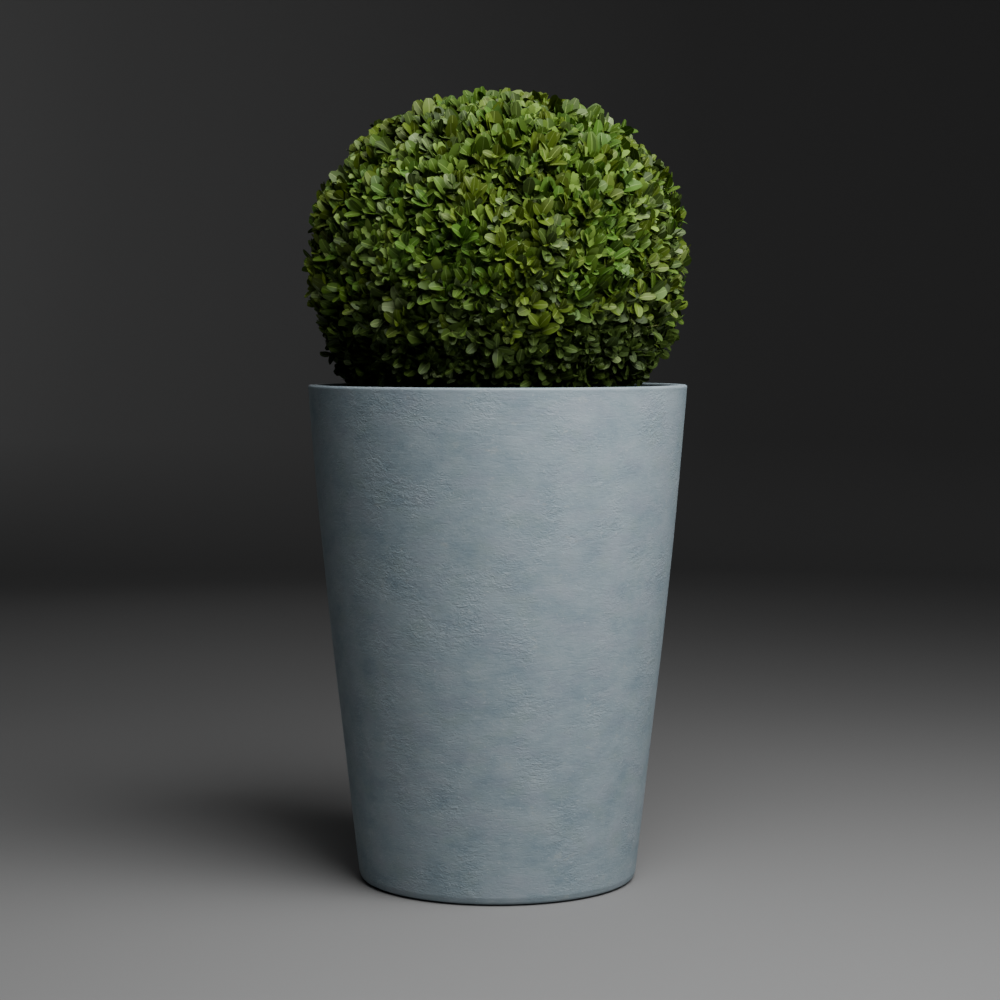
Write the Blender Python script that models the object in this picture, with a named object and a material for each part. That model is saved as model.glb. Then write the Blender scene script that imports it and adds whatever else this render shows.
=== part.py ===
"""Clipped ball of box in a tall round planter.

The planter is a tapered tube of fibre clay with a floor, filled with compost. A short stem stands on
the compost and carries one clipped ball of foliage: twigs that branch by a seeded rule from one stem,
with leaves on their tips, standing out of a dense core. Metres, +Z up. The origin is the centre of the
planter's flat underside.
"""

import math
import random

import bmesh
import bpy
from mathutils import Vector

UP = Vector((0, 0, 1))
GAP = 0.0003  # between pieces that touch
SHARP_ANGLE = math.radians(40)  # an edge that turns by more than this is shaded sharp

# Planter
PLANTER_HEIGHT = 0.630
FOOT_RADIUS = 0.1765  # where the straight wall would meet the ground
FLARE = 0.1115  # growth of the radius with height in the straight lower wall
RIM_FLARE = 0.071  # the same at the rim, above the slow bend
BEND_HEIGHT = 0.297  # the wall is straight below this
WALL = 0.014
FLOOR = 0.025
FOOT_ROUND = 0.006
RIM_ROUND = 0.003
INNER_CORNER = 0.012
PLANTER_SIDES = 64
WALL_ROWS = 8
ROUND_STEPS = 3

# Compost
COMPOST_LEVEL = 0.545  # under the stem
COMPOST_FALL = 0.010  # from the stem to the wall
COMPOST_FLAT = 0.070  # radius of the level top that the stem stands on

# Stem
STEM_TOP = 0.592
STEM_RADIUS = 0.0135  # at its top
STEM_TAPER = 0.0030  # wider than that at the foot, without the flare
STEM_FLARE = 0.011  # wider again at the very foot
FLARE_HEIGHT = 0.010  # the flare falls to a third over this height
FLARE_LOBES = 5
LOBE_DEPTH = 0.35  # share of the flare that the lobes cut away
STEM_LEAN = Vector((0.06, -0.03, 0))  # sideways run for each metre up
STEM_SIDES = 20
STEM_ROWS = 9
ROW_CROWDING = 1.5  # above 1, the rows crowd towards the flare

# Clipped ball: |side / radius| ^ fullness + |up / half height| ^ fullness = 1
BALL_CENTRE = Vector((0, 0, 0.785))
BALL_RADIUS = 0.243
BALL_HALF_HEIGHT = 0.219
BALL_FULLNESS = 2.25
SWELL_TIGHTNESS = 5.0
SWELLS = (  # where the shears left the ball fuller or flatter: direction, share of the radius
    (Vector((0.70, -0.15, 0.70)), 0.012),
    (Vector((-0.72, 0.05, 0.69)), -0.016),
    (Vector((-0.97, -0.10, -0.22)), 0.008),
    (Vector((0.25, 0.85, 0.45)), 0.008),
    (Vector((0.45, 0.60, -0.66)), -0.012),
)
CORE_SHARE = 0.84  # size of the core against the ball

# Twigs: each level's tips spread evenly over the ball, and grow from the nearest tip of the level before
SEED = 11
LIMBS = (  # boughs, then branches: how many, share of the way to the clipped surface, radius
    (6, 0.42, 0.0065),
    (26, 0.66, 0.0042),
)
SPRIGS = 138  # each stops where its end leaves reach the surface
SPRIG_RADIUS = 0.0026
OWN_STEM_RADIUS = 0.0080  # of the ball's own stem where it forks
TWIG_TAPER = 0.6  # a twig's tip against its foot
FORK_HEIGHT = -0.095  # of the boughs' foot, from the ball's centre
SPREAD_JITTER = 0.09  # share of the even spacing by which a tip strays
TIP_TURN = 0.6  # share by which a sprig's tip turns from its own line to straight outwards
STEEP = 0.9  # a limb's rise above this takes +X, not +Z, as the way to find its sides

# Leaves, in crossed pairs: distance below the sprig's tip, angle from the sprig
LEAF_PAIRS = (
    (0.001, math.radians(34)),
    (0.006, math.radians(66)),
)
LEAF_LENGTH = 0.048
LEAF_WIDTH = 0.035
LEAF_THICKNESS = 0.0014
LEAF_WIDEST = 0.58  # share of the length
LEAF_CUP = 0.0030  # by which the edges stand above the midrib
LEAF_LENGTH_SPREAD = 0.12
CLIP_DEPTH = (0.0015, 0.0055)  # least and most by which a sprig falls short of the surface
ANGLE_SPREAD = math.radians(9)
TURNS_TRIED = 12  # a sprig's leaves take the turn that keeps them furthest from those around
STEM_CLEARANCE = 0.006


def clear_scene():
    """Removes what the scene holds."""
    for thing in list(bpy.data.objects):
        bpy.data.objects.remove(thing)


def material(name, colour, roughness):
    """A non-metallic surface."""
    made = bpy.data.materials.new(name)
    made.use_nodes = True
    shader = made.node_tree.nodes["Principled BSDF"]
    shader.inputs["Base Color"].default_value = (*colour, 1)
    shader.inputs["Roughness"].default_value = roughness
    shader.inputs["Metallic"].default_value = 0.0
    return made


def mesh_object(name, mesh, finish=None, collection=None):
    """Turns a bmesh into a named object."""
    data = bpy.data.meshes.new(name)
    mesh.to_mesh(data)
    mesh.free()
    made = bpy.data.objects.new(name, data)
    (collection or bpy.context.scene.collection).objects.link(made)
    if finish:
        data.materials.append(finish)
    return made


def smooth(thing):
    """Shades a round piece smooth, with its real edges kept sharp."""
    thing.data.shade_smooth()
    thing.data.set_sharp_from_angle(angle=SHARP_ANGLE)


def skin(mesh, rings):
    """Joins rings of equal count, lowest first and counter-clockwise, into a closed solid."""
    count = len(rings[0])
    for low, high in zip(rings, rings[1:]):
        for side in range(count):
            after = (side + 1) % count
            mesh.faces.new((low[side], low[after], high[after], high[side]))
    mesh.faces.new(reversed(rings[0]))
    mesh.faces.new(rings[-1])


def arc(centre_radius, centre_height, size, start, end):
    """Points of an arc in a turned profile."""
    points = []
    for step in range(ROUND_STEPS + 1):
        angle = start + (end - start) * step / ROUND_STEPS
        points.append((centre_radius + size * math.cos(angle), centre_height + size * math.sin(angle)))
    return points


def turned(name, profile, finish):
    """A solid of revolution: the profile runs from axis to axis."""
    mesh = bmesh.new()
    points = [mesh.verts.new((radius, 0, height)) for radius, height in profile]
    edges = [mesh.edges.new(pair) for pair in zip(points, points[1:])]
    bmesh.ops.spin(
        mesh,
        geom=points + edges,
        axis=UP,
        cent=(0, 0, 0),
        angle=math.tau,
        steps=PLANTER_SIDES,
        use_merge=True,
    )
    bmesh.ops.remove_doubles(mesh, verts=mesh.verts, dist=1e-6)
    bmesh.ops.recalc_face_normals(mesh, faces=mesh.faces)
    made = mesh_object(name, mesh, finish)
    smooth(made)
    return made


def outer_radius(height):
    """The planter's wall: straight from the foot, then easing upright above the bend."""
    above = max(0.0, height - BEND_HEIGHT)
    eased = (FLARE - RIM_FLARE) * above**2 / (2 * (PLANTER_HEIGHT - BEND_HEIGHT))
    return FOOT_RADIUS + FLARE * height - eased


def inner_radius(height):
    return outer_radius(height) - WALL


def rows(low, high, count):
    """Heights evenly spaced between two others, without the ends."""
    return [low + (high - low) * step / count for step in range(1, count)]


def make_planter(finish):
    """A floor and one flared wall, with a rounded foot and rim."""
    foot = FOOT_RADIUS - FOOT_ROUND
    rim = outer_radius(PLANTER_HEIGHT)
    lip = PLANTER_HEIGHT - RIM_ROUND
    profile = [(0, 0)]
    profile += arc(foot, FOOT_ROUND, FOOT_ROUND, -math.pi / 2, 0)
    profile += [(outer_radius(height), height) for height in rows(FOOT_ROUND, lip, WALL_ROWS)]
    profile += arc(rim - RIM_ROUND, lip, RIM_ROUND, 0, math.pi / 2)
    profile += arc(rim - WALL + RIM_ROUND, lip, RIM_ROUND, math.pi / 2, math.pi)
    for height in reversed(rows(FLOOR + INNER_CORNER, lip, WALL_ROWS)):
        profile.append((inner_radius(height), height))
    profile.append((inner_radius(FLOOR + INNER_CORNER), FLOOR + INNER_CORNER))
    profile.append((inner_radius(FLOOR) - INNER_CORNER, FLOOR))
    profile.append((0, FLOOR))
    return turned("planter", profile, finish)


def make_compost(finish):
    """Fills the planter to below its rim, and rises a little towards the stem."""
    edge = COMPOST_LEVEL - COMPOST_FALL
    profile = [(0, FLOOR + GAP)]
    profile.append((inner_radius(FLOOR) - INNER_CORNER - GAP, FLOOR + GAP))
    profile.append((inner_radius(FLOOR + INNER_CORNER) - 2 * GAP, FLOOR + INNER_CORNER))
    for height in rows(FLOOR + INNER_CORNER, PLANTER_HEIGHT - RIM_ROUND, WALL_ROWS):
        if height < edge:
            profile.append((inner_radius(height) - 2 * GAP, height))
    profile.append((inner_radius(edge) - 2 * GAP, edge))
    profile.append((COMPOST_FLAT, COMPOST_LEVEL))
    profile.append((0, COMPOST_LEVEL))
    return turned("compost", profile, finish)


def stem_axis(height):
    """The leaning centre line, from the middle of the compost."""
    return STEM_LEAN * (height - COMPOST_LEVEL) + UP * height


def stem_radius(height, angle):
    """Tapers upwards, and flares into lobes at the foot."""
    foot = COMPOST_LEVEL + GAP
    upward = (height - foot) / (STEM_TOP - foot)
    flare = STEM_FLARE * math.exp(-(height - foot) / FLARE_HEIGHT)
    lobes = 1 - LOBE_DEPTH * (0.5 + 0.5 * math.cos(FLARE_LOBES * angle))
    return STEM_RADIUS + STEM_TAPER * (1 - upward) + flare * lobes


def make_stem(finish):
    """The visible foot of the plant, cut flat where it meets the compost."""
    mesh = bmesh.new()
    foot = COMPOST_LEVEL + GAP
    rings = []
    for row in range(STEM_ROWS + 1):
        height = foot + (STEM_TOP - foot) * (row / STEM_ROWS) ** ROW_CROWDING
        ring = []
        for side in range(STEM_SIDES):
            angle = math.tau * side / STEM_SIDES
            outward = Vector((math.cos(angle), math.sin(angle), 0))
            ring.append(mesh.verts.new(stem_axis(height) + outward * stem_radius(height, angle)))
        rings.append(ring)
    skin(mesh, rings)
    made = mesh_object("stem", mesh, finish)
    smooth(made)
    return made


def ball_reach(direction):
    """Distance from the ball's centre to its clipped surface."""
    side = math.hypot(direction.x, direction.y) / BALL_RADIUS
    up = abs(direction.z) / BALL_HALF_HEIGHT
    reach = (side**BALL_FULLNESS + up**BALL_FULLNESS) ** (-1 / BALL_FULLNESS)
    for centre, amount in SWELLS:
        reach *= 1 + amount * math.exp(SWELL_TIGHTNESS * (direction.dot(centre.normalized()) - 1))
    return reach


def spread(count, chance):
    """Directions spaced evenly over a sphere on a spiral, each strayed a little."""
    found = []
    stray = SPREAD_JITTER * math.sqrt(4 * math.pi / count)
    for step in range(count):
        height = 1 - (2 * step + 1) / count
        angle = step * math.pi * (3 - math.sqrt(5))
        side = math.sqrt(1 - height * height)
        even = Vector((side * math.cos(angle), side * math.sin(angle), height))
        wander = Vector((chance.gauss(0, 1), chance.gauss(0, 1), chance.gauss(0, 1)))
        found.append((even + wander * stray).normalized())
    return found


def across(direction, turn):
    """A unit vector square to a direction, turned about it."""
    aside = direction.cross(UP if abs(direction.z) < STEEP else Vector((1, 0, 0))).normalized()
    return aside * math.cos(turn) + direction.cross(aside) * math.sin(turn)


def twig(collection, foot, tip, radius):
    """A three-sided tapering limb."""
    mesh = bmesh.new()
    along = (tip - foot).normalized()
    rings = []
    for place, size in ((foot, radius), (tip, radius * TWIG_TAPER)):
        rings.append([mesh.verts.new(place + across(along, math.tau * side / 3) * size) for side in range(3)])
    skin(mesh, rings)
    return mesh_object("twig", mesh, None, collection)


def leaf_points(root, along, face, size):
    """Root, tip, both edges, and the top and bottom of the midrib of one cupped leaf."""
    length = LEAF_LENGTH * size
    aside = face.cross(along)
    middle = root + along * length * LEAF_WIDEST
    edge = aside * LEAF_WIDTH * size / 2
    rise = face * LEAF_CUP * size
    thick = face * LEAF_THICKNESS / 2
    return [
        root,
        root + along * length,
        middle + edge + rise,
        middle - edge + rise,
        middle + thick,
        middle - thick,
    ]


def leaf(collection, points):
    """Eight faces round the outline."""
    mesh = bmesh.new()
    root, tip, left, right, top, bottom = [mesh.verts.new(point) for point in points]
    outline = (root, right, tip, left)
    for first, second in zip(outline, outline[1:] + outline[:1]):
        mesh.faces.new((first, second, top))
        mesh.faces.new((second, first, bottom))
    return mesh_object("leaf", mesh, None, collection)


def in_space(point):
    """Whether a point keeps inside the clipped ball and off the stem and the compost."""
    from_centre = point - BALL_CENTRE
    if from_centre.length > ball_reach(from_centre.normalized()):
        return False
    if point.z < COMPOST_LEVEL + STEM_CLEARANCE:
        return False
    axis = stem_axis(point.z)
    beside = math.hypot(point.x - axis.x, point.y - axis.y)
    return point.z > STEM_TOP + STEM_CLEARANCE or beside > STEM_RADIUS + STEM_TAPER + STEM_CLEARANCE


def sprig_leaves(tip, along, size, turn, leans):
    """The leaves round a sprig's tip, without those that would leave the space."""
    found = []
    for number, (below, angle) in enumerate(LEAF_PAIRS):
        for half in (0, 1):
            lean = angle + leans[2 * number + half]
            aside = across(along, turn + number * math.pi / 2 + half * math.pi)
            leaf_along = along * math.cos(lean) + aside * math.sin(lean)
            face = along * math.sin(lean) - aside * math.cos(lean)
            points = leaf_points(tip - along * below, leaf_along, face, size)
            if all(in_space(point) for point in points):
                found.append(points)
    return found


def room(leaves, grown):
    """How far the nearest leaf already grown is from these, middle to middle."""
    apart = [(points[-1] - other[-1]).length for points in leaves for other in grown]
    return min(apart, default=0)


def grow_sprig(collection, foot, outward, grown, chance):
    """One sprig and its crossed pairs of leaves, which stop at the clipped surface."""
    size = 1 + chance.uniform(-LEAF_LENGTH_SPREAD, LEAF_LENGTH_SPREAD)
    short = chance.uniform(*CLIP_DEPTH)
    leans = [chance.uniform(-ANGLE_SPREAD, ANGLE_SPREAD) for _ in range(2 * len(LEAF_PAIRS))]
    steepest = LEAF_PAIRS[0][1] + min(leans[:2])
    reach = ball_reach(outward) - short - LEAF_LENGTH * size * math.cos(steepest)
    tip = BALL_CENTRE + outward * reach
    if not in_space(tip):
        return
    twig(collection, foot, tip, SPRIG_RADIUS)
    along = (tip - foot).normalized().lerp(outward, TIP_TURN).normalized()
    start = chance.uniform(0, math.pi)
    turns = [start + math.pi * step / TURNS_TRIED for step in range(TURNS_TRIED)]
    choices = [sprig_leaves(tip, along, size, turn, leans) for turn in turns]
    leaves = max(choices, key=lambda choice: room(choice, grown))
    for points in leaves:
        leaf(collection, points)
    grown += leaves


def make_core(finish):
    """The shaded inside of the ball, which the twigs stand out of."""
    mesh = bmesh.new()
    bmesh.ops.create_icosphere(mesh, subdivisions=3, radius=1)
    for point in mesh.verts:
        outward = point.co.normalized()
        point.co = BALL_CENTRE + outward * ball_reach(outward) * CORE_SHARE
    return mesh_object("foliage_ball", mesh, finish)


def make_own_stem(collection):
    """The ball's own stem, from just above the plant's stem to the fork of the boughs."""
    mesh = bmesh.new()
    foot = stem_axis(STEM_TOP + GAP)
    fork = BALL_CENTRE + UP * FORK_HEIGHT
    rings = []
    for place, size in ((foot, STEM_RADIUS), (fork, OWN_STEM_RADIUS)):
        ring = []
        for side in range(STEM_SIDES // 2):
            angle = 2 * math.tau * side / STEM_SIDES
            ring.append(mesh.verts.new(place + Vector((math.cos(angle), math.sin(angle), 0)) * size))
        rings.append(ring)
    skin(mesh, rings)
    mesh_object("own_stem", mesh, None, collection)
    return fork


def fuse(body, collection):
    """Joins the collection's solids to the body by one union, and removes them."""
    union = body.modifiers.new("union", "BOOLEAN")
    union.operation = "UNION"
    union.operand_type = "COLLECTION"
    union.collection = collection
    union.solver = "MANIFOLD"
    with bpy.context.temp_override(object=body, active_object=body):
        bpy.ops.object.modifier_apply(modifier=union.name)
    while len(body.data.materials) > 1:  # the union adds an empty slot
        body.data.materials.pop()
    for piece in list(collection.objects):
        bpy.data.objects.remove(piece)
    bpy.data.collections.remove(collection)


def keep_largest_shell(body):
    """Drops loose scraps, and fills hollows by dropping the shells inside."""
    mesh = bmesh.new()
    mesh.from_mesh(body.data)
    left = set(mesh.verts)
    shells = []
    while left:
        shell = set()
        border = [left.pop()]
        while border:
            point = border.pop()
            shell.add(point)
            for edge in point.link_edges:
                other = edge.other_vert(point)
                if other in left:
                    left.remove(other)
                    border.append(other)
        shells.append(shell)
    largest = max(shells, key=len)
    spare = [point for point in mesh.verts if point not in largest]
    bmesh.ops.delete(mesh, geom=spare, context="VERTS")
    mesh.to_mesh(body.data)
    mesh.free()


def nearest_tip(tips, outward):
    """The place of the tip whose direction from the ball's centre is nearest."""
    return max(tips, key=lambda tip: tip[0].dot(outward))[1]


def grow_limbs(collection, tips, limbs, chance):
    """One level of limbs. Returns each new tip with its direction."""
    count, share, radius = limbs
    grown = []
    for outward in spread(count, chance):
        tip = BALL_CENTRE + outward * ball_reach(outward) * share
        twig(collection, nearest_tip(tips, outward), tip, radius)
        grown.append((outward, tip))
    return grown


def make_foliage(finish):
    """The clipped ball: core, own stem, boughs, branches and leafy sprigs, fused into one solid."""
    chance = random.Random(SEED)
    pieces = bpy.data.collections.new("foliage_pieces")
    bpy.context.scene.collection.children.link(pieces)
    body = make_core(finish)
    tips = [(UP, make_own_stem(pieces))]
    for limbs in LIMBS:
        tips = grow_limbs(pieces, tips, limbs, chance)
    leaves = []
    for outward in spread(SPRIGS, chance):
        grow_sprig(pieces, nearest_tip(tips, outward), outward, leaves, chance)
    fuse(body, pieces)
    keep_largest_shell(body)
    return body


def main():
    clear_scene()
    make_planter(material("blue_grey_fibre_clay", (0.33, 0.40, 0.44), 0.75))
    make_compost(material("dark_compost", (0.045, 0.030, 0.020), 0.95))
    make_stem(material("box_bark", (0.27, 0.22, 0.15), 0.85))
    make_foliage(material("box_leaf", (0.10, 0.19, 0.035), 0.45))


main()
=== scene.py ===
"""The looks of a clipped ball of box in its planter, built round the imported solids.

The planter, compost and stem are turned or swept meshes with real relief. The ball grows again by the
rule of the solids, from one stem through boughs, branches and sprigs, and on to finer shoots with crossed
pairs of leaves. Metres, +Z up, the planter's underside at z = 0.
"""

import math
import random

import bpy
import numpy as np
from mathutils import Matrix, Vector, noise


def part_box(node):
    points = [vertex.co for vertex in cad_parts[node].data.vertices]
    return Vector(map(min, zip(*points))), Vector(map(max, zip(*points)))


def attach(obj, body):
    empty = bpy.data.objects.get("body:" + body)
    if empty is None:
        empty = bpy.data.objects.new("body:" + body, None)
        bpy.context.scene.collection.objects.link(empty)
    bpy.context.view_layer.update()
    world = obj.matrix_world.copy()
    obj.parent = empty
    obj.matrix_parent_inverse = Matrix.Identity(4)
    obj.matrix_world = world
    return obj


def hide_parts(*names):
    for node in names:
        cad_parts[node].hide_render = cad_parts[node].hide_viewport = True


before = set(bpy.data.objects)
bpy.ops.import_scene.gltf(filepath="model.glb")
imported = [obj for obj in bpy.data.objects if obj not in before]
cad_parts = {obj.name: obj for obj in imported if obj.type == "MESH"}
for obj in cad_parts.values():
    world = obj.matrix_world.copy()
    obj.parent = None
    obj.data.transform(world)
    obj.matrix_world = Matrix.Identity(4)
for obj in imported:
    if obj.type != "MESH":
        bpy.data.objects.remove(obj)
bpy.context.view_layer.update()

UP = Vector((0, 0, 1))

# Camera: an 85 mm lens on a 36 mm sensor, fitted to the planter's outline
LENS_MM = 85
SENSOR_MM = 36
CAMERA_PLACE = (0.0031, -3.001, 0.681)
CAMERA_PITCH = 0.0659  # radians down from level

# Studio: azimuths are to the viewer's right of the camera's own direction
KEY_AZIMUTH = math.radians(36)
KEY_ELEVATION = math.radians(45)
KEY_DISTANCE = 1.62
KEY_SIZE = 1.65
KEY_WATTS = 62.5
FILL_WATTS = 6.5
FILL_PLACE = (0.2, -1.2, 2.2)
FILL_SIZE = 1.8
BACK_WATTS = 3.5
BACK_PLACE = (-0.9, 3.0, 1.9)
BACK_SIZE = 2.0
LIGHT_TARGET = Vector((0, 0, 0.72))
WORLD_COLOUR = (0.62, 0.64, 0.67)
WORLD_STRENGTH = 0.022
STAGE_RADIUS = 6.2  # of a round floor that curves up into a wall
STAGE_CURVE = 2.0
STAGE_HEIGHT = 3.6
STAGE_SIDES = 96
STAGE_RINGS = (0.02, 0.2, 0.4, 0.6)  # of the flat floor, as shares of the radius
CURVE_STEPS = 12
STAGE_DEPTH = (-0.8, 4.2)  # from before the plant to the wall behind it
WALL_SIDES = (-1.9, 1.9)
WALL_FOOT = (0.02, 0.35)  # height over which the floor's painted falloff gives way to the wall's painted side shade
STAGE_ROUGHNESS = 0.8

# Painted light falloff of the stage, darker behind the plant and towards the right on the wall: share of
# the way back, or from left to right on the wall, and albedo
DEPTH_PAINTED_FALLOFF = ((0.0, 0.246), (0.11, 0.226), (0.26, 0.197), (0.46, 0.176), (0.70, 0.172), (1.0, 0.200))
SIDE_PAINTED_FALLOFF = ((0.0, 0.335), (0.12, 0.287), (0.33, 0.246), (0.70, 0.160), (1.0, 0.150))

# Sizes read from the frame
PLANTER_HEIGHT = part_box("planter")[1].z
COMPOST_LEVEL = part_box("compost")[1].z
STEM_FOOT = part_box("stem")[0].z
STEM_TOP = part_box("stem")[1].z

# Planter, as the solid is turned
FOOT_RADIUS = 0.1765
FLARE = 0.1115
RIM_FLARE = 0.071
BEND_HEIGHT = 0.297
WALL = 0.014
FLOOR = 0.025
FOOT_ROUND = 0.006
FOOT_RELIEF = (0.008, 0.0016)  # depth and height of the shadow gap under the edge
RIM_ROUND = 0.003
INNER_CORNER = 0.012
PLANTER_SIDES = 288
OUTER_ROWS = 306
INNER_ROWS = 16
ROUND_STEPS = 5

# Relief of the clay: trowel marks in patches on a slightly uneven wall
SWELL_SIZE = 9.0  # swells for each metre
SWELL_HEIGHT = 0.0005
PATCH_SIZE = 19.0  # patches of marks for each metre
PATCH_DETAIL = 2.7  # smaller patches for each large one, half as strong
PATCH_SHIFT = 7  # moves the large patches away from the small ones
PATCH_EDGE = (-0.15, 0.65)  # values of the patches over which the marks grow to full strength
MARKS_LEAST = 0.26
RIDGE_SIZE = (95.0, 200.0)  # marks for each metre, round and up
RIDGE_HEIGHT = 0.0003
RELIEF_FADE = 0.012  # distance over which the relief fades out at the rim and the foot

# Colours of the clay, as display values. Clouds are a place on the ramp and its colour
CLAY_CLOUDS = ((0.33, (127, 145, 155)), (0.50, (141, 157, 165)), (0.67, (152, 166, 173)))
# painted highlight on the crests of the trowel marks
CLAY_CREST_HIGHLIGHT = (170, 181, 186)
CLAY_SPECK = (190, 196, 198)
CLAY_TINTS = (  # patches for each metre, their detail and roughness, where they set in, strength, colour
    ((21, 21, 34), 4.0, 0.55, (0.48, 0.66), 0.28, (150, 154, 166)),
    ((25, 25, 40), 4.0, 0.55, (0.52, 0.70), 0.34, (138, 155, 152)),
    ((40, 40, 58), 5.0, 0.60, (0.64, 0.71), 0.42, (168, 176, 174)),
)
CLOUD_NOISE = (20, 20, 30)  # clouds, ridges, grains and lines for each metre, round and up
RIDGE_NOISE = (165, 165, 320)
GRAIN_NOISE = (300, 300, 400)
LINE_NOISE = (40, 40, 380)

# Compost, bark and shoots: a place on the ramp and its base colour, and noise for each metre
COMPOST_SHADES = (
    (0.32, (0.008, 0.005, 0.003)),
    (0.52, (0.030, 0.019, 0.011)),
    (0.74, (0.095, 0.062, 0.036)),
)
COMPOST_NOISE = (160, 160, 160)
BARK_SHADES = (
    (0.32, (0.050, 0.036, 0.022)),
    (0.50, (0.17, 0.13, 0.085)),
    (0.70, (0.32, 0.27, 0.19)),
)
BARK_NOISE = (260, 260, 60)
MOSS_COLOUR = (0.13, 0.15, 0.07)
MOSS_NOISE = (30, 30, 22)
SHOOT_SHADES = ((0.35, (0.055, 0.060, 0.018)), (0.65, (0.16, 0.17, 0.050)))
SHOOT_NOISE = (90, 90, 90)

# Compost, as the solid is turned
COMPOST_FALL = 0.010
COMPOST_FLAT = 0.070
COMPOST_CLEARANCE = 0.0008
COMPOST_SIDES = 150
COMPOST_ROWS = 56
COMPOST_DEPTH = 0.030  # of the modelled layer
LUMP_SIZE = 70  # lumps for each metre
LUMP_HEIGHT = 0.0022
LUMP_DETAIL = (0.8, 2.2, 4)  # smoothness, ratio and number of the finer lumps
LUMPS_SUNK = 0.001  # below the solid's surface
CRUMBS = 1500
CRUMB_SIZE = (0.0010, 0.0034)
CRUMB_MARGIN = 0.0065  # between the middle of a crumb and the wall
CRUMB_SKEW = 0.5  # by which its corners stray sideways, as a share of its size
CRUMB_REACH = (0.5, 1.2)  # of its corners, as a share of its size

# Stem, as the solid is made
STEM_RADIUS = 0.0135
STEM_TAPER = 0.0030
STEM_FLARE = 0.011
FLARE_HEIGHT = 0.010
FLARE_LOBES = 5
LOBE_DEPTH = 0.35
STEM_LEAN = Vector((0.06, -0.03, 0))
STEM_SIDES = 72
STEM_ROWS = 46
BARK_RELIEF = 0.00054
BARK_SIZE = (170.0, 45.0)  # bark ridges for each metre, round and along

# Clipped ball, as the solid is grown
BALL_CENTRE = Vector((0, 0, 0.785))
BALL_RADIUS = 0.243
BALL_HALF_HEIGHT = 0.219
BALL_FULLNESS = 2.25
SWELL_TIGHTNESS = 5.0
SWELLS = (  # directions, and the share by which the ball stands out there or is clipped flatter
    (Vector((0.70, -0.15, 0.70)), 0.012),
    (Vector((-0.72, 0.05, 0.69)), -0.016),
    (Vector((-0.97, -0.10, -0.22)), 0.008),
    (Vector((0.25, 0.85, 0.45)), 0.008),
    (Vector((0.45, 0.60, -0.66)), -0.012),
)
SEED = 11
LIMBS = ((6, 0.42, 0.0065), (26, 0.66, 0.0042))  # number, share of the way out and radius, level by level
LIMB_SIDES = 9
LIMB_ROWS = 6
LIMB_BEND = 0.012  # by which a limb bows outwards
GAP = 0.0003  # between the stem and the compost, and between the stem and the ball
SPRIGS = 138
SPRIG_RADIUS = 0.0026
SPRIG_REACH = 0.77  # share of the way to the clipped surface
SPRIG_SIDES = 5
OWN_STEM_RADIUS = 0.0080
OWN_STEM_ROWS = 9
FORK_HEIGHT = -0.095
SPREAD_JITTER = 0.09
TWIG_TAPER = 0.6
STEM_CLEARANCE = 0.006
STEEP = 0.9  # a limb's rise above this takes +X, not +Z, as the way to find its sides

# Finer growth: shoots stand on the sprigs and bear crossed pairs of leaves
SHOOTS = 3000
INNER_SHOOTS = 1900
SHOOT_JITTER = 0.30
SHOOT_RADIUS = 0.0009
SHOOT_SIDES = 3
SHOOT_ROWS = 3
SHOOT_FEET = (0.35, 1.0)  # share of the sprig's length where shoots stand
SHOOT_LIFT = 0.75  # by which a shoot on the side turns upwards to the light
SHOOT_STRAY = 0.28
STRAIGHT_END = 0.024  # length of the leafy end
INNER_DEPTH = (0.005, 0.020)  # of the inner shoots' leaves below the clipped surface
CLIP_DEPTH = (-0.0062, 0.0115)  # by which the furthest leaf of a shoot falls short of the surface
CLIP_EVENNESS = 2.8  # above 1, few shoots stand out and most fall short
CLIP_SLOPE = 0.0055  # by which the ball is clipped closer at its top, and less closely at its foot
CLIP_STRAY = 0.0075  # the most that a leaf may stand out
LEAF_PAIRS = (  # distance below the shoot's tip, angle from the shoot, size
    (0.0005, math.radians(17), 0.88),
    (0.0060, math.radians(33), 1.02),
    (0.0130, math.radians(50), 1.04),
    (0.0210, math.radians(65), 0.94),
)
LEAF_LENGTH = 0.0245
LEAF_TOP_GAIN = 0.40  # by which leaves are longer at the top of the ball, and shorter at its foot
LEAF_LENGTH_SPREAD = 0.21
LEAF_WIDTH = 0.54  # share of the length
LEAF_WIDTH_SPREAD = 0.10
LEAF_LENGTH_LIMITS = (0.65, 1.5)
PAIR_LENGTH_SPREAD = 0.05  # among the leaves of one shoot
LEAF_ANGLE_SPREAD = math.radians(15)
LEAF_SIDE_SPREAD = 0.2  # radians by which a leaf strays from its place in the cross
LEAF_ROLL_SPREAD = math.radians(22)
LEAF_CLOSE = 0.32  # by which leaves stand closer to the shoot at the ball's top, and wider at its foot
LEAF_TURN = 1.0  # by which the nearer side of a leaf turns outwards
LEAF_LIGHT = (0.34, -0.50, 0.46)  # the way in which it turns to the light, most of all at the top
LEAF_LIGHT_REACH = 0.3  # share of the half height, below the middle, to which it still does
LEAF_FOLD = (0.04, 0.30)  # rise of the edges against the half width
LEAF_CURL = (0.05, 0.75)  # radians by which the blade bends back from root to tip
LEAF_STATIONS = (0.0, 0.18, 0.44, 0.70, 0.90, 1.0)
INNER_STATIONS = (0.0, 0.35, 0.72, 1.0)
LEAF_FULLEST = 0.54  # share of the length where the blade is widest
LEAF_ROUNDNESS = 0.61
LEAF_BLUNTNESS = 0.06  # share of the outline that is missing at the rounded tip
RIB_WIDTH = (0.0013, 0.0005)  # of the pale midrib, at the root and the tip
LEAST_RIB = 0.0002  # least half width of the midrib's strip
EDGE_OVER_RIB = 1.5  # least width of the blade against the midrib
PIECE_FACES = 190_000  # the most in one piece of leaves


def linear(colour):
    """A plain base colour from display values between 0 and 255."""
    return tuple((value / 255) ** 2.2 for value in colour)


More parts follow.
